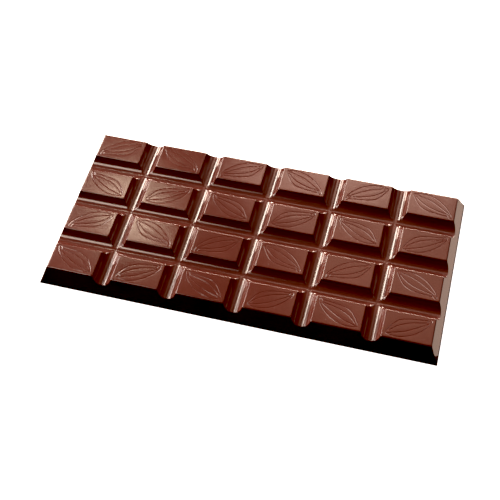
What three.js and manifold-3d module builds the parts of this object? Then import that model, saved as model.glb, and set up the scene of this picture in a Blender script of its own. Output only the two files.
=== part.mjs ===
// A dark chocolate bar: one moulded slab, scored into squares, with a cocoa pod engraved on each.
// Millimetres, +Z up. The origin is the middle of the flat underside, and +X runs along the bar.

import * as THREE from 'three';
import { mergeVertices } from 'three/addons/utils/BufferGeometryUtils.js';
import Module from 'manifold-3d';

const wasm = await Module();
wasm.setup();

// Driving dimensions
const BAR_LENGTH = 160;
const BAR_WIDTH = 77;
const BAR_HEIGHT = 8.3;
const COLUMNS = 6;
const ROWS = 4;

// How far the sloping rim runs in from the base to the top, at the ends and along the sides
const END_SLOPE = 3.4;
const SIDE_SLOPE = 3.25;

// The round-bottomed grooves between the squares, and the small flat on every top edge
const GROOVE_WIDTH = 7.45;
const GROOVE_DEPTH = 3.3;
const EDGE_FLAT = 0.35;
const GROOVE_SEGMENTS = 10;

// The engraved lines
const LINE_WIDTH = 0.6;
const LINE_DEPTH = 0.32;
const LINE_STEPS = 6;

// How far a cutter runs past the surface that it cuts
const OVERCUT = 1;

// The squares' spacing and the size of their tops, before the edges are taken off
const TOP_LENGTH = BAR_LENGTH - 2 * END_SLOPE;
const TOP_WIDTH = BAR_WIDTH - 2 * SIDE_SLOPE;
const COLUMN_PITCH = (TOP_LENGTH + GROOVE_WIDTH) / COLUMNS;
const ROW_PITCH = (TOP_WIDTH + GROOVE_WIDTH) / ROWS;

// One pod, on the square whose pod points to the front left: every line is a smooth curve given by
// its start, two pulls and its end, in mm from the middle of the square
const POD_LINES = {
  backOutline: [[-8.4, -4.1], [-4.5, 2.9], [-4.5, 3.2], [6.6, 4.3]],
  backRib: [[-6.7, -2.8], [-2.9, 1.5], [1.5, 2.3], [6.9, 3.3]],
  frontRib: [[-6.8, -4.0], [-0.8, -2.2], [-0.8, -2.5], [7.1, 2.9]],
  frontOutline: [[-8.4, -4.1], [-2.3, -6.8], [4.0, -2.8], [7.3, 2.0]],
  stalk: [[6.7, 3.4], [7.3, 5.9], [9.4, 5.5], [7.4, 2.0]],
};

// Manifold solids from three.js geometry, and back

function solid(geometry) {
  const bare = geometry.clone();
  bare.deleteAttribute('normal');
  bare.deleteAttribute('uv');
  const merged = mergeVertices(bare, 1e-4);
  return new wasm.Manifold(new wasm.Mesh({
    numProp: 3,
    vertProperties: new Float32Array(merged.attributes.position.array),
    triVerts: new Uint32Array(merged.index.array),
  }));
}

function geometryOf(manifold) {
  const mesh = manifold.getMesh();
  const geometry = new THREE.BufferGeometry();
  geometry.setAttribute('position', new THREE.BufferAttribute(mesh.vertProperties, 3));
  geometry.setIndex(new THREE.BufferAttribute(mesh.triVerts, 1));
  const faceted = geometry.toNonIndexed();
  faceted.computeVertexNormals();
  return faceted;
}

// The slab: a block whose sides slope in to the top, with its top edge taken off

function slab() {
  const block = new THREE.BoxGeometry(BAR_LENGTH, BAR_WIDTH, BAR_HEIGHT, 1, 1, 2);
  const position = block.attributes.position;
  for (let i = 0; i < position.count; i += 1) {
    const level = Math.round(position.getZ(i) / (BAR_HEIGHT / 2)) + 1;
    const height = [0, BAR_HEIGHT - EDGE_FLAT, BAR_HEIGHT][level];
    const rise = height / BAR_HEIGHT;
    const edge = level === 2 ? EDGE_FLAT : 0;
    const x = BAR_LENGTH / 2 - END_SLOPE * rise - edge;
    const y = BAR_WIDTH / 2 - SIDE_SLOPE * rise - edge;
    position.setXYZ(i, Math.sign(position.getX(i)) * x, Math.sign(position.getY(i)) * y, height);
  }
  return solid(block);
}

// A groove's cutter: a round bottom below the top, the edge flats, and straight walls above it

function grooveCutter(length) {
  const half = GROOVE_WIDTH / 2;
  const radius = (half * half + GROOVE_DEPTH * GROOVE_DEPTH) / (2 * GROOVE_DEPTH);
  const centre = radius - GROOVE_DEPTH;
  const brink = Math.asin((centre + EDGE_FLAT) / radius);
  const reach = half + EDGE_FLAT;
  const section = new THREE.Shape();
  section.moveTo(reach, OVERCUT);
  section.lineTo(-reach, OVERCUT);
  section.lineTo(-reach, 0);
  section.absarc(0, centre, radius, Math.PI + brink, 2 * Math.PI - brink, false);
  section.lineTo(reach, 0);
  section.closePath();
  const bar = new THREE.ExtrudeGeometry(section, {
    depth: length,
    bevelEnabled: false,
    curveSegments: GROOVE_SEGMENTS / 2,
  });
  bar.translate(0, 0, -length / 2);
  bar.rotateX(Math.PI / 2);
  return bar;
}

function grooves() {
  const cutters = [];
  for (let column = 1; column < COLUMNS; column += 1) {
    const cutter = grooveCutter(BAR_WIDTH + 2 * OVERCUT);
    cutter.translate((column - COLUMNS / 2) * COLUMN_PITCH, 0, BAR_HEIGHT);
    cutters.push(solid(cutter));
  }
  for (let row = 1; row < ROWS; row += 1) {
    const cutter = grooveCutter(BAR_LENGTH + 2 * OVERCUT);
    cutter.rotateZ(Math.PI / 2);
    cutter.translate(0, (row - ROWS / 2) * ROW_PITCH, BAR_HEIGHT);
    cutters.push(solid(cutter));
  }
  return cutters;
}

// One engraved line: a V swept along its curve. Along a level path the section's x points down

function lineCutter(points) {
  const curve = new THREE.CubicBezierCurve3(...points.map(([x, y]) => new THREE.Vector3(x, y, BAR_HEIGHT)));
  const flare = (LINE_WIDTH / 2) * (1 + OVERCUT / LINE_DEPTH);
  const section = new THREE.Shape([
    new THREE.Vector2(LINE_DEPTH, 0),
    new THREE.Vector2(-OVERCUT, flare),
    new THREE.Vector2(-OVERCUT, -flare),
  ]);
  return solid(new THREE.ExtrudeGeometry(section, {
    steps: LINE_STEPS,
    bevelEnabled: false,
    extrudePath: curve,
  }));
}

// A pod on every square, each the mirror image of its neighbours

function pods() {
  const cutters = [];
  for (let row = 0; row < ROWS; row += 1) {
    for (let column = 0; column < COLUMNS; column += 1) {
      const x = (column - (COLUMNS - 1) / 2) * COLUMN_PITCH;
      const y = (row - (ROWS - 1) / 2) * ROW_PITCH;
      const mirrorX = column % 2 === 0 ? -1 : 1;
      const mirrorY = row % 2 === 0 ? 1 : -1;
      for (const line of Object.values(POD_LINES)) {
        cutters.push(lineCutter(line.map(([u, v]) => [x + mirrorX * u, y + mirrorY * v])));
      }
    }
  }
  return cutters;
}

const darkChocolate = new THREE.MeshStandardMaterial({ color: 0x4a2a20, roughness: 0.3, metalness: 0 });

const bar = slab().subtract(wasm.Manifold.union([...grooves(), ...pods()]));
const chocolateBar = new THREE.Mesh(geometryOf(bar), darkChocolate);
chocolateBar.name = 'chocolate_bar';

const model = new THREE.Group();
model.add(chocolateBar);

export default model;
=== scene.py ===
from math import asin, atan2, cos, radians, sin, sqrt, tan

import bmesh
import bpy
import numpy as np
from mathutils import Euler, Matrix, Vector, noise
from mathutils.geometry import delaunay_2d_cdt


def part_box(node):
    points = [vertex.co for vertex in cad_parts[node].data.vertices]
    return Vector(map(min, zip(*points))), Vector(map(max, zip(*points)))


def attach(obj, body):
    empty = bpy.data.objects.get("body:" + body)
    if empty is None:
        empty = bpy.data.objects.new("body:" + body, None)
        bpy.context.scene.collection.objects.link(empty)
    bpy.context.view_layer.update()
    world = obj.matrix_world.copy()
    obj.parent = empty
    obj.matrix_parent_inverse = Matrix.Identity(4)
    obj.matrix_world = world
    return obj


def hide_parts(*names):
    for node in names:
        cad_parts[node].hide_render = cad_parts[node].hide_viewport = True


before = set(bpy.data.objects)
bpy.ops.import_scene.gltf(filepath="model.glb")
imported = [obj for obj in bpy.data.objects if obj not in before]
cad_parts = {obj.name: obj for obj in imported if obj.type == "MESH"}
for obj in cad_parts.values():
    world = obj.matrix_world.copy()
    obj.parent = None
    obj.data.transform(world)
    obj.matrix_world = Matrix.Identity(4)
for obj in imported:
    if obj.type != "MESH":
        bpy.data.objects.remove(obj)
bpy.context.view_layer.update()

# The bar's shape is worked out in millimetres, and its meshes are in metres
MM = 0.001
BAR = "chocolate_bar"

# Sizes of the bar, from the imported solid
bar_low, bar_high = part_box(BAR)
BAR_LENGTH = (bar_high.x - bar_low.x) / MM
BAR_WIDTH = (bar_high.y - bar_low.y) / MM
BAR_HEIGHT = (bar_high.z - bar_low.z) / MM
BAR_PLAN = np.array([BAR_LENGTH, BAR_WIDTH])
COLUMNS = 6
ROWS = 4

# How far the sloping rim runs in from the base to the top, at the ends and along the sides
END_SLOPE = 3.4
SIDE_SLOPE = 3.25

# The round-bottomed grooves, the rounding of every top edge, and that of the ridges where two walls meet
GROOVE_WIDTH = 7.45
GROOVE_DEPTH = 3.3
BRINK_RADIUS = 0.5
RIDGE_ROUND = 0.6

# The engraved lines: half their width, their depth, and the shares of the half width that their brim and
# their bottom are rounded over
LINE_REACH = 0.24
LINE_DEPTH = 0.065
LINE_BRIM = 0.2
LINE_BOTTOM = 0.3

# The rounding under the rim
FOOT_RADIUS = 0.2

# The underside's shallow hollow: its depth, how far in from the rim it is fully deep, the length of its
# ripples, the layer of the noise that they come from, and the shares of the depth that always stay and
# that the ripples change
HOLLOW = 0.12
HOLLOW_RUN = 12
RIPPLE_LENGTH = 17
RIPPLE_LAYER = 0.5
STEADY_SHARE = 0.7
RIPPLE_SHARE = 0.6

# Faces that point down more than this belong to the underside
DOWNWARD = -0.8

# How finely walls, brinks, curves, the foot and the underside are divided
WALL_STEPS = 11
BRINK_STEPS = 4
LINE_STEPS = 44
FOOT_STEPS = 4
FOOT_RINGS = 4
UNDERSIDE_STEP = 2.2

# Where the extra rows of points run inside a flat top's edge, and how many evenly spaced ones follow
TOP_MARGINS = (0.22, 0.6)
TOP_ROWS_ALONG = 5
TOP_ROWS_ACROSS = 3

# How clear an engraved line's points stay of other lines and of the top's edge, and how many of a line's
# half widths the evenly spaced points stay away from it
LINE_CLEARANCE = 0.02
EDGE_CLEARANCE = 0.1
ROW_CLEARANCE = 1.3

# Points closer than this are one point where the tops join the slab, and inside a flat piece
SEAM = 0.002
SAME_POINT = 1e-7

# Blender's setting that keeps only the triangles inside an outline
INSIDE_OUTLINE = 1

# How far below its full height the bar still counts as a flat top
TOP_TOLERANCE = LINE_DEPTH / 10

# The shading: how far to each side of a point heights are compared, and how far above the foot's rounding
# it starts
SLOPE_STEP = 0.01
FOOT_MARGIN = 0.05

# The camera: place in metres, turn in degrees about X, Y and Z, lens and sensor in mm
CAMERA_PLACE = (0.06564, -0.21633, 0.32853)
CAMERA_TURN = (34.119, 1.985, 14.608)
CAMERA_LENS = 70.03
CAMERA_SENSOR = 36

# The lights: azimuth turning right from the back and elevation in degrees, distance, width and height in
# metres, power in watts and colour
LIGHTS = (
    ("key window", -43.5, 38.5, 2.5, (0.36, 0.74), 27, (1, 0.88, 0.77)),
    ("left window", -73, 27, 1.2, (0.5, 0.45), 24.5, (1, 0.83, 0.75)),
    ("low left lamp", -50, 16, 1.2, (0.26, 0.26), 5, (1, 0.8, 0.66)),
    ("low back window", -5, 4.5, 1.2, (0.67, 0.19), 24, (1, 0.73, 0.6)),
    ("tall back window", 23, 23.6, 1.2, (0.53, 0.617), 10, (1, 0.76, 0.65)),
    ("upper back strip", -5.4, 50.7, 1.2, (0.36, 0.0424), 0.6, (1, 0.7, 0.56)),
    ("front ceiling panel", -125, 62, 1.2, (0.45, 0.3), 4.8, (1, 0.82, 0.7)),
    ("glow lamp", -32.4, 51.7, 1.2, (0.065, 0.055), 0.42, (1, 0.81, 0.6)),
    ("back ceiling panel", 5, 57.6, 1.2, (0.4, 0.2), 0.4, (1, 0.68, 0.5)),
    ("right lamp", 77, 48.6, 0.6, (0.21, 0.14), 0.2, (1, 0.85, 0.75)),
)

# A reflector card lying to the right of the bar: its corner nearest the front left, its size and its
# height above the floor in mm, its power in watts and its colour
CARD_CORNER = (80.1, -34)
CARD_SIZE = (50, 111)
CARD_LIFT = 0.2
CARD_POWER = 0.022
CARD_COLOUR = (1, 0.75, 0.61)

# The floor's size in metres, how brightly it and the room glow for the camera, how little the room lights
# the bar, and the tone that the picture shows as black
FLOOR_SIZE = 6
FLOOR_GLOW = 1.0
ROOM_GLOW = 0.005
BLACK_POINT = 0.0165

# Soft noise keeps mostly between these two values, so they are taken as its ends
NOISE_LOW = 0.3
NOISE_HIGH = 0.7

# The fine haze's share in the polish, and the share of the pinholes' places that hold one
HAZE_SHARE = 0.4
PINHOLE_SHARE = 0.3

# Spacing of the squares, and the groove's section: a round wall, then a rounded brink up to the flat top
COLUMN_PITCH = (BAR_LENGTH - 2 * END_SLOPE + GROOVE_WIDTH) / COLUMNS
ROW_PITCH = (BAR_WIDTH - 2 * SIDE_SLOPE + GROOVE_WIDTH) / ROWS
GROOVE_RADIUS = (GROOVE_WIDTH**2 / 4 + GROOVE_DEPTH**2) / (2 * GROOVE_DEPTH)
GROOVE_FLOOR = BAR_HEIGHT - GROOVE_DEPTH
CENTRE_RISE = GROOVE_RADIUS - GROOVE_DEPTH
FLAT_START = sqrt((GROOVE_RADIUS + BRINK_RADIUS) ** 2 - (CENTRE_RISE + BRINK_RADIUS) ** 2)
WALL_TURN = asin(FLAT_START / (GROOVE_RADIUS + BRINK_RADIUS))
WALL_RUN = GROOVE_RADIUS * WALL_TURN
TOP_RUN = WALL_RUN + BRINK_RADIUS * WALL_TURN
TOP_INSET = FLAT_START - GROOVE_WIDTH / 2

# Half the size of a square's flat top
TOP_HALF = (COLUMN_PITCH / 2 - FLAT_START, ROW_PITCH / 2 - FLAT_START)

# One pod, on a square whose pod points to the front left: every line is a smooth curve given by
# its start, two pulls and its end, in mm from the middle of the square
POD_LINES = {
    "back outline": ((-8.4, -4.1), (-4.5, 2.9), (-4.5, 3.2), (6.6, 4.3)),
    "back rib": ((-6.7, -2.8), (-2.9, 1.5), (1.5, 2.3), (6.9, 3.3)),
    "front rib": ((-6.8, -4.0), (-0.8, -2.2), (-0.8, -2.5), (7.1, 2.9)),
    "front outline": ((-8.4, -4.1), (-2.3, -6.8), (4.0, -2.8), (7.3, 2.0)),
    "stalk": ((6.7, 3.4), (7.3, 5.9), (9.4, 5.5), (7.4, 2.0)),
}

# The middle of such a square, in the fourth column and the front row
POD_SQUARE = (COLUMN_PITCH / 2, -ROW_PITCH / 2 * (ROWS - 1))

# Where rows of points run along an engraved line, in shares of its half width: its middle, and both ends
# of each rounding
LINE_TRACKS = (-1, LINE_BRIM - 1, -LINE_BOTTOM, 0, LINE_BOTTOM, 1 - LINE_BRIM, 1)


# The walls' shape

# A level is a run in mm up the groove's wall from its floor. Every wall of the bar is given by the level
# that each of its points has, so that walls meet where their levels are equal

def height_at(level):
    """The height of a level: straight under the floor, round wall, rounded brink, flat top."""
    rest = np.clip(TOP_RUN - level, 0, BRINK_RADIUS * WALL_TURN)
    brink = BAR_HEIGHT - BRINK_RADIUS * (1 - np.cos(rest / BRINK_RADIUS))
    wall = GROOVE_FLOOR + GROOVE_RADIUS * (1 - np.cos(np.clip(level, 0, WALL_RUN) / GROOVE_RADIUS))
    return np.where(level < 0, GROOVE_FLOOR + level, np.where(level < WALL_RUN, wall, brink))


def level_at(height):
    """The level that has this height, from the base up to the top."""
    wall = GROOVE_RADIUS * np.arccos(1 - np.clip(height - GROOVE_FLOOR, 0, GROOVE_DEPTH) / GROOVE_RADIUS)
    drop = np.clip(BAR_HEIGHT - height, 0, BRINK_RADIUS)
    brink = TOP_RUN - BRINK_RADIUS * np.arccos(1 - drop / BRINK_RADIUS)
    below = height - GROOVE_FLOOR
    return np.where(height < GROOVE_FLOOR, below, np.where(wall < WALL_RUN, wall, brink))


def groove_level(distance):
    """The level at a distance from a groove's middle line."""
    wall = GROOVE_RADIUS * np.arcsin(np.clip(distance / GROOVE_RADIUS, 0, 1))
    inside = np.clip(FLAT_START - distance, 0, BRINK_RADIUS)
    brink = TOP_RUN - BRINK_RADIUS * np.arcsin(inside / BRINK_RADIUS)
    flat = TOP_RUN + distance - FLAT_START
    foot_of_brink = GROOVE_RADIUS * np.sin(WALL_TURN)
    return np.where(distance < foot_of_brink, wall, np.where(distance < FLAT_START, brink, flat))


def groove_offset(level):
    """How far from the groove's middle line a level of its wall lies."""
    wall = GROOVE_RADIUS * np.sin(level / GROOVE_RADIUS)
    brink = FLAT_START - BRINK_RADIUS * np.sin((TOP_RUN - level) / BRINK_RADIUS)
    return np.where(level < WALL_RUN, wall, brink)


def rim_shape(slope):
    """The radius of the rim's rounding at the top, and where that rounding starts."""
    turn = atan2(BAR_HEIGHT, slope)
    return TOP_INSET / tan(turn / 2), slope - TOP_INSET * cos(turn)


def rim_level(distance, slope):
    """The level at a distance in from the bar's edge."""
    radius, start = rim_shape(slope)
    inside = np.clip(slope + TOP_INSET - distance, 0, radius)
    rounded = BAR_HEIGHT - radius + np.sqrt(radius**2 - inside**2)
    height = np.where(distance < start, distance * BAR_HEIGHT / slope, rounded)
    flat = TOP_RUN + distance - slope - TOP_INSET
    return np.where(distance < slope + TOP_INSET, level_at(height), flat)


def rim_offset(height, slope):
    """How far in from the bar's edge the rim has this height."""
    radius, start = rim_shape(slope)
    along = radius - (BAR_HEIGHT - height)
    rounded = slope + TOP_INSET - np.sqrt(np.clip(radius**2 - along**2, 0, None))
    straight = height * slope / BAR_HEIGHT
    return np.where(straight < start, straight, rounded)


def side_level(place, length, slope, pitch, count):
    """The level that the walls across one direction give at a place along it."""
    nearest = np.clip(np.round(place / pitch + count / 2), 1, count - 1) - count / 2
    groove = groove_level(np.abs(place - nearest * pitch))
    return np.minimum(groove, rim_level(length / 2 - np.abs(place), slope))


def meet(a, b, round_off):
    """The lower of two levels, with the ridge between them rounded off."""
    near = np.clip(round_off - np.abs(a - b), 0, None)
    return np.minimum(a, b) - near**2 / (4 * round_off)


def slab_height(x, y):
    """The height of the bar without its engraving."""
    across = side_level(x, BAR_LENGTH, END_SLOPE, COLUMN_PITCH, COLUMNS)
    along = side_level(y, BAR_WIDTH, SIDE_SLOPE, ROW_PITCH, ROWS)
    return np.maximum(height_at(meet(across, along, RIDGE_ROUND)), FOOT_RADIUS)


# The engraving

def curve_points(line, steps):
    """Points along one engraved line."""
    share = np.linspace(0, 1, steps + 1)[:, None]
    start, pull_out, pull_in, end = np.array(line)
    rest = 1 - share
    return rest**3 * start + 3 * rest**2 * share * pull_out + 3 * rest * share**2 * pull_in + share**3 * end


def line_distance(points, path):
    """The distance of each point from a line."""
    start = path[:-1]
    step = path[1:] - start
    offset = points[:, None, :] - start
    share = np.clip((offset * step).sum(2) / (step**2).sum(1), 0, 1)
    return np.sqrt(((offset - share[..., None] * step) ** 2).sum(2)).min(1)


pod_paths = [curve_points(line, LINE_STEPS) for line in POD_LINES.values()]


def engraving(points):
    """The depth of the pod's lines, each a V with a rounded brim and bottom, from their square's middle."""
    distance = np.min([line_distance(points, path) for path in pod_paths], axis=0)
    share = np.clip(distance / LINE_REACH, 0, 1)
    brim = np.clip(1 - share, 0, LINE_BRIM) ** 2 / (2 * LINE_BRIM)
    wall = np.clip(1 - LINE_BRIM - share, 0, 1 - LINE_BRIM - LINE_BOTTOM)
    bottom = (LINE_BOTTOM**2 - np.clip(share, 0, LINE_BOTTOM) ** 2) / (2 * LINE_BOTTOM)
    return LINE_DEPTH * (brim + wall + bottom) / (1 - LINE_BRIM / 2 - LINE_BOTTOM / 2)


def square_places(x, y):
    """Places from the middle of their own square, turned to the way that the pod is drawn."""
    column = np.clip(np.floor(x / COLUMN_PITCH + COLUMNS / 2), 0, COLUMNS - 1)
    row = np.clip(np.floor(y / ROW_PITCH + ROWS / 2), 0, ROWS - 1)
    mirror_x = np.where(column % 2 == 0, -1, 1)
    mirror_y = np.where(row % 2 == 0, 1, -1)
    from_x = x - (column - (COLUMNS - 1) / 2) * COLUMN_PITCH
    from_y = y - (row - (ROWS - 1) / 2) * ROW_PITCH
    return np.stack([from_x * mirror_x, from_y * mirror_y], 1)


def bar_height(x, y):
    """The height of the finished upper side."""
    height = slab_height(x, y)
    on_top = height > BAR_HEIGHT - TOP_TOLERANCE
    height[on_top] -= engraving(square_places(x[on_top], y[on_top]))
    return height


# The meshes

def wall_levels():
    """The levels that get a row of points, from a groove's floor to its flat top."""
    wall = np.linspace(0, WALL_RUN, WALL_STEPS + 1)
    brink = np.linspace(WALL_RUN, TOP_RUN, BRINK_STEPS + 1)
    return np.concatenate([wall, brink[1:]])


def top_rows(half, count):
    """Rows of points across a flat top, from its middle, with closer ones along its edges."""
    margins = half - np.array(TOP_MARGINS)
    middle = np.linspace(-margins[-1], margins[-1], count + 2)
    return np.concatenate([-margins[:-1], middle, margins[:-1]])


def grid_rows(length, slope, pitch, count, half, top_count):
    """Every row of points across one direction of the bar, and which gaps between rows are flat tops."""
    levels = wall_levels()
    foot = np.linspace(FOOT_RADIUS, GROOVE_FLOOR, FOOT_STEPS, endpoint=False)
    rim = rim_offset(np.concatenate([foot, height_at(levels)]), slope)
    rim[0] = 0
    wall = groove_offset(levels)
    rows = [rim - length / 2, length / 2 - rim]
    for groove in range(1, count):
        middle = (groove - count / 2) * pitch
        rows += [middle - wall, middle + wall[1:]]
    middles = [(square - (count - 1) / 2) * pitch for square in range(count)]
    rows += [middle + top_rows(half, top_count) for middle in middles]
    rows = np.sort(np.concatenate(rows))
    centres = (rows[:-1] + rows[1:]) / 2
    flat = np.any([np.abs(centres - middle) < half for middle in middles], axis=0)
    return rows, flat


def joined(parts):
    """Vertices and faces of several parts as one."""
    points = []
    faces = []
    count = 0
    for part_points, part_faces in parts:
        points.append(part_points)
        faces += [[corner + count for corner in face] for face in part_faces]
        count += len(part_points)
    return np.concatenate(points), faces


def upper_skin(x_rows, y_rows, x_flat, y_flat):
    """The upper side and the sloping sides, with an opening where each engraved top goes."""
    x, y = (grid.ravel() for grid in np.meshgrid(x_rows, y_rows, indexing="ij"))
    points = np.stack([x, y, slab_height(x, y)], 1)
    x_level = side_level(x_rows, BAR_LENGTH, END_SLOPE, COLUMN_PITCH, COLUMNS)
    y_level = side_level(y_rows, BAR_WIDTH, SIDE_SLOPE, ROW_PITCH, ROWS)
    x_rises = np.diff(x_level) > 0
    y_rises = np.diff(y_level) > 0
    faces = []
    for i in range(len(x_rows) - 1):
        for j in range(len(y_rows) - 1):
            if x_flat[i] and y_flat[j]:
                continue
            a = i * len(y_rows) + j
            b, c, d = a + len(y_rows), a + len(y_rows) + 1, a + 1
            # Each gap is cut along the line where two walls meet
            if x_rises[i] == y_rises[j]:
                faces += [(a, b, c), (a, c, d)]
            else:
                faces += [(a, b, d), (b, c, d)]
    return points, faces


def rim_loop(x_rows, y_rows):
    """The corners of an outline whose sides have these rows, once round."""
    front = [(x, y_rows[0]) for x in x_rows[:-1]]
    right = [(x_rows[-1], y) for y in y_rows[:-1]]
    back = [(x, y_rows[-1]) for x in x_rows[:0:-1]]
    left = [(x_rows[0], y) for y in y_rows[:0:-1]]
    return np.array(front + right + back + left)


def foot_skin(loop):
    """The rounding under the rim, as rings from the sides to the underside."""
    rings = []
    for angle in np.linspace(0, np.pi / 2, FOOT_RINGS):
        inset = FOOT_RADIUS * (1 - np.cos(angle))
        height = np.full(len(loop), FOOT_RADIUS * (1 - np.sin(angle)))
        rings.append(np.column_stack([loop * (1 - 2 * inset / BAR_PLAN), height]))
    count = len(loop)
    faces = []
    for ring in range(len(rings) - 1):
        for i in range(count):
            j = (i + 1) % count
            upper, lower = ring * count, (ring + 1) * count
            faces.append((upper + i, lower + i, lower + j, upper + j))
    return np.concatenate(rings), faces


def closed_edges(loop):
    """The pairs of neighbours round a closed loop."""
    return [(i, (i + 1) % len(loop)) for i in range(len(loop))]


def filled(places, edges):
    """Triangles over flat places inside an outline, with an edge along every given pair."""
    spots = [Vector(place) for place in places]
    spots, _, faces = delaunay_2d_cdt(spots, edges, [], INSIDE_OUTLINE, SAME_POINT)[:3]
    return np.array([tuple(spot) for spot in spots]), faces


def underside_height(x, y):
    """The flat back's shallow hollow: nothing at the rim, a little inside."""
    from_rim = np.minimum(BAR_LENGTH / 2 - np.abs(x), BAR_WIDTH / 2 - np.abs(y)) - FOOT_RADIUS
    share = np.clip(from_rim / HOLLOW_RUN, 0, 1)
    spots = [Vector((a / RIPPLE_LENGTH, b / RIPPLE_LENGTH, RIPPLE_LAYER)) for a, b in zip(x, y)]
    ripple = np.array([noise.noise(spot) for spot in spots])
    return HOLLOW * share**2 * (3 - 2 * share) * (STEADY_SHARE + RIPPLE_SHARE * ripple)


def underside_skin(loop):
    """The back of the bar, with its outline on the last ring of the foot."""
    inner = loop * (1 - 2 * FOOT_RADIUS / BAR_PLAN)
    half = BAR_PLAN / 2 - UNDERSIDE_STEP / 2
    x_count, y_count = (2 * half / UNDERSIDE_STEP).astype(int)
    x, y = np.meshgrid(np.linspace(-half[0], half[0], x_count), np.linspace(-half[1], half[1], y_count))
    places = np.concatenate([inner, np.column_stack([x.ravel(), y.ravel()])])
    places, faces = filled(places, closed_edges(loop))
    height = underside_height(places[:, 0], places[:, 1])
    return np.column_stack([places, height]), [tuple(reversed(face)) for face in faces]


def clear_points(track, path, distance):
    """Which points of a line's track stay clear of every other line and of the top's edge."""
    others = [other for other in pod_paths if other is not path]
    clear = np.min([line_distance(track, other) for other in others], axis=0) > distance + LINE_CLEARANCE
    for axis, half in enumerate(TOP_HALF):
        clear &= np.abs(track[:, axis]) < half - EDGE_CLEARANCE
    return clear


def line_tracks(path):
    """The rows of points along an engraved line, each with its points that are clear."""
    step = np.gradient(path, axis=0)
    normal = np.column_stack([-step[:, 1], step[:, 0]]) / np.linalg.norm(step, axis=1)[:, None]
    tracks = [path + normal * share * LINE_REACH for share in LINE_TRACKS]
    return [(track, clear_points(track, path, abs(share) * LINE_REACH))
            for share, track in zip(LINE_TRACKS, tracks)]


def engraved_top():
    """The flat top of one square with its pod: points follow the lines and run beside them."""
    rows = []
    for half, count in zip(TOP_HALF, (TOP_ROWS_ALONG, TOP_ROWS_ACROSS)):
        rows.append(np.concatenate([[-half], top_rows(half, count), [half]]))
    border = rim_loop(*rows)
    edges = closed_edges(border)
    inner_x, inner_y = np.meshgrid(rows[0][1:-1], rows[1][1:-1])
    inner = np.column_stack([inner_x.ravel(), inner_y.ravel()])
    distance = np.min([line_distance(inner, path) for path in pod_paths], axis=0)
    places = [*border, *inner[distance > ROW_CLEARANCE * LINE_REACH]]
    for path in pod_paths:
        for track, clear in line_tracks(path):
            index = len(places) + np.cumsum(clear) - 1
            both = clear[:-1] & clear[1:]
            edges += zip(index[:-1][both].tolist(), index[1:][both].tolist())
            places += list(track[clear])
    places, faces = filled(places, edges)
    x, y = (places + POD_SQUARE).T
    return np.column_stack([places, slab_height(x, y) - engraving(places)]), faces


def new_piece(name, points, faces, material):
    """A mesh object in metres from points in millimetres."""
    mesh = bpy.data.meshes.new(name)
    mesh.from_pydata((points * MM).tolist(), [], faces)
    mesh.materials.append(material)
    piece = bpy.data.objects.new(name, mesh)
    bpy.context.scene.collection.objects.link(piece)
    return piece


# The squares, by Geometry Nodes

def add_node(tree, kind, inputs=None, **settings):
    """A node with its settings, and its inputs set to a number, a colour or another node's output."""
    made = tree.nodes.new(kind)
    for name, value in settings.items():
        setattr(made, name, value)
    for name, value in (inputs or {}).items():
        if isinstance(value, bpy.types.NodeSocket):
            tree.links.new(value, made.inputs[name])
        else:
            made.inputs[name].default_value = value
    return made


def calc(tree, operation, first, second):
    """The result of a sum on two values, each a number or another node's output."""
    return add_node(tree, "ShaderNodeMath", {0: first, 1: second}, operation=operation).outputs[0]


def along_axis(tree, axis, value, others):
    """A vector with this value along one axis and the same number along the others."""
    inputs = {name: others for name in "XYZ"}
    inputs[axis] = value
    return add_node(tree, "ShaderNodeCombineXYZ", inputs).outputs[0]


def mirrored_line(tree, geometry, count, pitch, axis, first_sign):
    """Copies of a geometry in a line, every second one mirrored, as one mesh."""
    start = calc(tree, "MULTIPLY", calc(tree, "MULTIPLY", calc(tree, "SUBTRACT", count, 1.0), -0.5), pitch)
    line = add_node(tree, "GeometryNodeMeshLine", {
        "Count": count,
        "Start Location": along_axis(tree, axis, start, 0.0),
        "Offset": along_axis(tree, axis, pitch, 0.0),
    })
    index = add_node(tree, "GeometryNodeInputIndex").outputs[0]
    odd = calc(tree, "MODULO", index, 2.0)
    sign = calc(tree, "ADD", calc(tree, "MULTIPLY", odd, -2.0 * first_sign), first_sign)
    copies = add_node(tree, "GeometryNodeInstanceOnPoints", {
        "Points": line.outputs[0],
        "Instance": geometry,
        "Scale": along_axis(tree, axis, sign, 1.0),
    })
    return add_node(tree, "GeometryNodeRealizeInstances", {0: copies.outputs[0]}).outputs[0]


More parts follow.
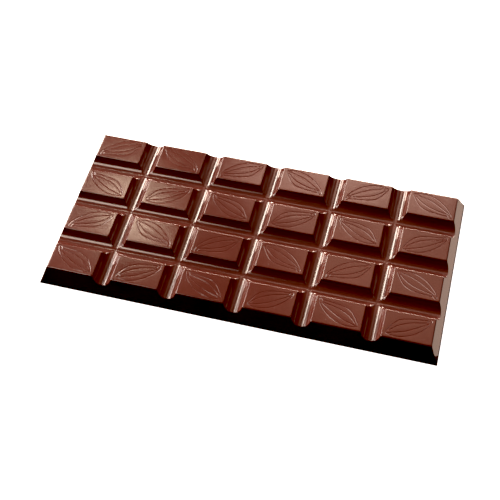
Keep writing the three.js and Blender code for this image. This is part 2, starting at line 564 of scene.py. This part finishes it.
def tops_tree():
    """Geometry Nodes that set an engraved top in every square, each the mirror image of its neighbours."""
    tree = bpy.data.node_groups.new("tops_on_every_square", "GeometryNodeTree")
    tree.interface.new_socket("Geometry", in_out="OUTPUT", socket_type="NodeSocketGeometry")
    for name, kind in (
        ("Slab", "NodeSocketGeometry"), ("Top", "NodeSocketObject"), ("Columns", "NodeSocketInt"),
        ("Rows", "NodeSocketInt"), ("Column Pitch", "NodeSocketFloat"), ("Row Pitch", "NodeSocketFloat"),
        ("Seam", "NodeSocketFloat"), ("Chocolate", "NodeSocketMaterial"),
    ):
        tree.interface.new_socket(name, in_out="INPUT", socket_type=kind)
    given = add_node(tree, "NodeGroupInput").outputs
    top = add_node(tree, "GeometryNodeObjectInfo", {"Object": given["Top"]}).outputs["Geometry"]
    row = mirrored_line(tree, top, given["Columns"], given["Column Pitch"], "X", -1.0)
    tops = mirrored_line(tree, row, given["Rows"], given["Row Pitch"], "Y", 1.0)
    join = add_node(tree, "GeometryNodeJoinGeometry", {0: given["Slab"]})
    tree.links.new(tops, join.inputs[0])
    merge = add_node(tree, "GeometryNodeMergeByDistance", {
        "Geometry": join.outputs[0],
        "Distance": given["Seam"],
    })
    real = add_node(tree, "GeometryNodeRealizeInstances", {0: merge.outputs[0]})
    paint = add_node(tree, "GeometryNodeSetMaterial", {
        "Geometry": real.outputs[0],
        "Material": given["Chocolate"],
    })
    add_node(tree, "NodeGroupOutput", {0: paint.outputs[0]})
    return tree


def run_nodes(piece, tree, values):
    """Gives a piece what the tree makes of it, as a plain mesh."""
    modifier = piece.modifiers.new(tree.name, "NODES")
    modifier.node_group = tree
    for item in tree.interface.items_tree:
        if item.in_out == "INPUT" and item.name in values:
            modifier[item.identifier] = values[item.name]
    graph = bpy.context.evaluated_depsgraph_get()
    made = bpy.data.meshes.new_from_object(piece.evaluated_get(graph))
    piece.modifiers.remove(modifier)
    piece.data = made


# The bar's faces, once its mesh is whole

def face_outwards(mesh):
    """Turns every face of a closed mesh outwards, as mirrored copies come out inside out."""
    shape = bmesh.new()
    shape.from_mesh(mesh)
    bmesh.ops.recalc_face_normals(shape, faces=shape.faces)
    shape.to_mesh(mesh)
    shape.free()


def paint_underside(mesh, material):
    """Gives the faces that look down the back's finish."""
    mesh.materials.append(material)
    for face in mesh.polygons:
        if face.normal.z < DOWNWARD:
            face.material_index = len(mesh.materials) - 1


def mesh_points(mesh):
    """A mesh's points in millimetres."""
    places = np.zeros(len(mesh.vertices) * 3)
    mesh.vertices.foreach_get("co", places)
    return places.reshape(-1, 3) / MM


def shade_by_form(mesh):
    """Smooth shading that follows the bar's own curves, with the foot's rounding left to Blender."""
    points = mesh_points(mesh)
    normals = np.zeros_like(points)
    upper = points[:, 2] > FOOT_RADIUS + FOOT_MARGIN
    x, y = points[upper, 0], points[upper, 1]
    slope_x = (bar_height(x + SLOPE_STEP, y) - bar_height(x - SLOPE_STEP, y)) / (2 * SLOPE_STEP)
    slope_y = (bar_height(x, y + SLOPE_STEP) - bar_height(x, y - SLOPE_STEP)) / (2 * SLOPE_STEP)
    normal = np.column_stack([-slope_x, -slope_y, np.ones(len(x))])
    normals[upper] = normal / np.linalg.norm(normal, axis=1)[:, None]
    mesh.shade_smooth()
    mesh.normals_split_custom_set_from_vertices(normals.tolist())


# The finishes

def effect(name, inputs, outputs):
    """A shader node group with named inputs and outputs, and the sockets that its inputs arrive at."""
    tree = bpy.data.node_groups.new(name, "ShaderNodeTree")
    for socket, value in inputs.items():
        kind = "NodeSocketColor" if isinstance(value, tuple) else "NodeSocketFloat"
        tree.interface.new_socket(socket, in_out="INPUT", socket_type=kind).default_value = value
    for socket, kind in outputs.items():
        tree.interface.new_socket(socket, in_out="OUTPUT", socket_type=kind)
    return tree, add_node(tree, "NodeGroupInput").outputs


def place_in_mm(tree):
    """Places on the bar in millimetres."""
    place = add_node(tree, "ShaderNodeTexCoord").outputs["Object"]
    scale = (1 / MM, 1 / MM, 1 / MM)
    return add_node(tree, "ShaderNodeMapping", {"Vector": place, "Scale": scale}).outputs[0]


def cloud(tree, place, per_mm, detail, roughness=0.5):
    """Soft noise from 0 to 1."""
    return add_node(tree, "ShaderNodeTexNoise", {
        "Vector": place, "Scale": per_mm, "Detail": detail, "Roughness": roughness,
    }).outputs[0]


def mixed(tree, share, first, second):
    """Two noises mixed by the second one's share."""
    return add_node(tree, "ShaderNodeMix", {0: share, 2: first, 3: second}).outputs[0]


def cocoa_tone():
    """Brown that drifts slowly from deep to pale, with fine specks."""
    tree, given = effect("cocoa_tone", {
        "Deep": (0.0, 0.0, 0.0, 1.0), "Pale": (0.0, 0.0, 0.0, 1.0),
        "Drifts per mm": 0.05, "Specks per mm": 1.0, "Speck Share": 0.2,
    }, {"Color": "NodeSocketColor"})
    place = place_in_mm(tree)
    drift = cloud(tree, place, given["Drifts per mm"], detail=3.0)
    speck = cloud(tree, place, given["Specks per mm"], detail=2.0)
    share = mixed(tree, given["Speck Share"], drift, speck)
    clear = add_node(tree, "ShaderNodeMapRange", {
        "Value": share, "From Min": NOISE_LOW, "From Max": NOISE_HIGH,
    }).outputs[0]
    mix = add_node(tree, "ShaderNodeMix", {0: clear, 6: given["Deep"], 7: given["Pale"]}, data_type="RGBA")
    add_node(tree, "NodeGroupOutput", {"Color": mix.outputs[2]})
    return tree


def polish():
    """Roughness that wanders between a glossy and a dull value, in wide patches and a fine haze."""
    tree, given = effect("polish", {
        "Glossy": 0.2, "Dull": 0.3, "Patches per mm": 0.1, "Haze per mm": 1.5,
    }, {"Roughness": "NodeSocketFloat"})
    place = place_in_mm(tree)
    patch = cloud(tree, place, given["Patches per mm"], detail=2.0)
    haze = cloud(tree, place, given["Haze per mm"], detail=3.0)
    share = mixed(tree, HAZE_SHARE, patch, haze)
    rough = add_node(tree, "ShaderNodeMapRange", {
        "Value": share, "From Min": NOISE_LOW, "From Max": NOISE_HIGH,
        "To Min": given["Glossy"], "To Max": given["Dull"],
    })
    add_node(tree, "NodeGroupOutput", {"Roughness": rough.outputs[0]})
    return tree


def pinholes(tree, place, given):
    """The depth of scattered round pinholes, one in each chosen cell of a Voronoi pattern."""
    cells = add_node(tree, "ShaderNodeTexVoronoi", {
        "Vector": place, "Scale": given["Pinholes per mm"],
    }, voronoi_dimensions="2D")
    reach = calc(tree, "MULTIPLY", given["Pinhole Radius"], given["Pinholes per mm"])
    inside = add_node(tree, "ShaderNodeMapRange", {
        "Value": cells.outputs["Distance"],
        "From Min": 0.0, "From Max": reach, "To Min": 1.0, "To Max": 0.0,
    }, interpolation_type="SMOOTHSTEP").outputs[0]
    draw = add_node(tree, "ShaderNodeSeparateColor", {0: cells.outputs["Color"]}).outputs[0]
    chosen = calc(tree, "LESS_THAN", draw, PINHOLE_SHARE)
    return calc(tree, "MULTIPLY", calc(tree, "MULTIPLY", inside, chosen), given["Pinhole Depth"])


def cast_surface():
    """The relief of a cast surface, with heights in millimetres: slow waves, fine grain and pinholes."""
    tree, given = effect("cast_surface", {
        "Waves per mm": 0.1, "Wave Height": 0.01, "Grains per mm": 2.0, "Grain Height": 0.002,
        "Pinholes per mm": 0.2, "Pinhole Radius": 0.15, "Pinhole Depth": 0.05,
    }, {"Normal": "NodeSocketVector"})
    place = place_in_mm(tree)
    wave = cloud(tree, place, given["Waves per mm"], detail=2.0)
    grain = cloud(tree, place, given["Grains per mm"], detail=4.0, roughness=0.6)
    waves = calc(tree, "MULTIPLY", wave, given["Wave Height"])
    grains = calc(tree, "MULTIPLY", grain, given["Grain Height"])
    height = calc(tree, "SUBTRACT", calc(tree, "ADD", waves, grains), pinholes(tree, place, given))
    bump = add_node(tree, "ShaderNodeBump", {"Strength": 1.0, "Distance": MM, "Height": height})
    add_node(tree, "NodeGroupOutput", {"Normal": bump.outputs[0]})
    return tree


def place_effect(tree, group, values):
    """A material's own copy of an effect, with its values."""
    made = add_node(tree, "ShaderNodeGroup", node_tree=group)
    for name, value in values.items():
        made.inputs[name].default_value = value
    return made.outputs[0]


tone_effect = cocoa_tone()
polish_effect = polish()
cast_effect = cast_surface()


def chocolate(name, tone, gloss, relief):
    """Dark chocolate from the shared effects, each with this material's own values."""
    material = bpy.data.materials.new(name)
    material.use_nodes = True
    tree = material.node_tree
    shader = tree.nodes["Principled BSDF"]
    tree.links.new(place_effect(tree, tone_effect, tone), shader.inputs["Base Color"])
    tree.links.new(place_effect(tree, polish_effect, gloss), shader.inputs["Roughness"])
    tree.links.new(place_effect(tree, cast_effect, relief), shader.inputs["Normal"])
    return material


def moulded_chocolate():
    """The glossy, even finish that chocolate takes from its mould."""
    return chocolate("moulded_chocolate", tone={
        "Deep": (0.074, 0.022, 0.0172, 1),
        "Pale": (0.096, 0.029, 0.0225, 1),
        "Drifts per mm": 0.06,
        "Specks per mm": 1.1,
        "Speck Share": 0.3,
    }, gloss={
        "Glossy": 0.13,
        "Dull": 0.18,
        "Patches per mm": 0.12,
        "Haze per mm": 1.6,
    }, relief={
        "Waves per mm": 0.1,
        "Wave Height": 0.005,
        "Grains per mm": 1.8,
        "Grain Height": 0.0007,
        "Pinholes per mm": 0.14,
        "Pinhole Radius": 0.16,
        "Pinhole Depth": 0.05,
    })


def open_back_chocolate():
    """The duller, wavier finish of the back, which cooled in the open."""
    return chocolate("open_back_chocolate", tone={
        "Deep": (0.07, 0.025, 0.0155, 1),
        "Pale": (0.105, 0.04, 0.026, 1),
        "Drifts per mm": 0.035,
        "Specks per mm": 0.7,
        "Speck Share": 0.25,
    }, gloss={
        "Glossy": 0.3,
        "Dull": 0.5,
        "Patches per mm": 0.05,
        "Haze per mm": 0.5,
    }, relief={
        "Waves per mm": 0.06,
        "Wave Height": 0.12,
        "Grains per mm": 1.2,
        "Grain Height": 0.012,
        "Pinholes per mm": 0.22,
        "Pinhole Radius": 0.35,
        "Pinhole Depth": 0.16,
    })


# The floor, the lights, the room and the camera

def pale_floor():
    """The plain floor under the bar, bright enough to come out white, and seen by the camera alone."""
    bpy.ops.mesh.primitive_plane_add(size=FLOOR_SIZE, location=(0, 0, 0))
    floor = bpy.context.object
    floor.name = "floor"
    material = bpy.data.materials.new("pale_floor")
    material.use_nodes = True
    shader = material.node_tree.nodes["Principled BSDF"]
    shader.inputs["Base Color"].default_value = (0.8, 0.8, 0.8, 1)
    shader.inputs["Roughness"].default_value = 0.9
    shader.inputs["Specular IOR Level"].default_value = 0
    shader.inputs["Emission Color"].default_value = (1, 1, 1, 1)
    shader.inputs["Emission Strength"].default_value = FLOOR_GLOW
    floor.data.materials.append(material)
    floor.visible_glossy = False
    floor.visible_diffuse = False


def area_light(name, place, away, size, power, colour):
    """A rectangular light at a place, with its back turned in the direction given as away."""
    data = bpy.data.lights.new(name, "AREA")
    data.shape = "RECTANGLE"
    data.size, data.size_y = size
    data.energy = power
    data.color = colour
    light = bpy.data.objects.new(name, data)
    light.location = place
    light.rotation_euler = away.to_track_quat("Z", "Y").to_euler()
    light.visible_camera = False
    bpy.context.scene.collection.objects.link(light)


def softbox(name, azimuth, elevation, distance, size, power, colour):
    """A light that faces the bar, from an azimuth turning right from the back and an elevation."""
    around, up = radians(azimuth), radians(elevation)
    away = Vector((sin(around) * cos(up), cos(around) * cos(up), sin(up)))
    area_light(name, away * distance, away, size, power, colour)


def reflector_card():
    """The card beside the bar's right end, facing up."""
    width, depth = CARD_SIZE
    place = Vector((CARD_CORNER[0] + width / 2, CARD_CORNER[1] + depth / 2, CARD_LIFT)) * MM
    size = (width * MM, depth * MM)
    area_light("reflector card", place, Vector((0, 0, -1)), size, CARD_POWER, CARD_COLOUR)


def studio_room():
    """The room: as pale as the floor where the camera sees it, and almost dark to the bar."""
    room = bpy.data.worlds.new("studio")
    room.use_nodes = True
    tree = room.node_tree
    back = tree.nodes["Background"]
    back.inputs["Color"].default_value = (1, 1, 1, 1)
    seen = add_node(tree, "ShaderNodeLightPath").outputs["Is Camera Ray"]
    glow = add_node(tree, "ShaderNodeMapRange", {"Value": seen, "To Min": ROOM_GLOW, "To Max": FLOOR_GLOW})
    tree.links.new(glow.outputs[0], back.inputs["Strength"])
    bpy.context.scene.world = room


def photo_camera():
    """The photograph's viewpoint."""
    data = bpy.data.cameras.new("camera")
    data.sensor_width = CAMERA_SENSOR
    data.lens = CAMERA_LENS
    camera = bpy.data.objects.new("camera", data)
    camera.location = CAMERA_PLACE
    camera.rotation_euler = Euler([radians(angle) for angle in CAMERA_TURN])
    bpy.context.scene.collection.objects.link(camera)
    bpy.context.scene.camera = camera


def picture_tones():
    """The picture's tones: plain, with the darkest ones brought down to black."""
    view = bpy.context.scene.view_settings
    view.view_transform = "Standard"
    view.use_curve_mapping = True
    view.curve_mapping.black_level = (BLACK_POINT, BLACK_POINT, BLACK_POINT)


photo_camera()
pale_floor()
for light in LIGHTS:
    softbox(*light)
reflector_card()
studio_room()
picture_tones()

# The bar: its slab, with an engraved top set in every square

x_rows, x_flat = grid_rows(BAR_LENGTH, END_SLOPE, COLUMN_PITCH, COLUMNS, TOP_HALF[0], TOP_ROWS_ALONG)
y_rows, y_flat = grid_rows(BAR_WIDTH, SIDE_SLOPE, ROW_PITCH, ROWS, TOP_HALF[1], TOP_ROWS_ACROSS)
outline = rim_loop(x_rows, y_rows)
skins = [upper_skin(x_rows, y_rows, x_flat, y_flat), foot_skin(outline), underside_skin(outline)]
moulded = moulded_chocolate()
bar = new_piece("dark_chocolate_bar", *joined(skins), moulded)
top = new_piece("engraved_top", *engraved_top(), moulded)
run_nodes(bar, tops_tree(), {
    "Top": top,
    "Columns": COLUMNS,
    "Rows": ROWS,
    "Column Pitch": COLUMN_PITCH * MM,
    "Row Pitch": ROW_PITCH * MM,
    "Seam": SEAM * MM,
    "Chocolate": moulded,
})
bpy.data.objects.remove(top)
face_outwards(bar.data)
paint_underside(bar.data, open_back_chocolate())
shade_by_form(bar.data)

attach(bar, "root")
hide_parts(BAR)
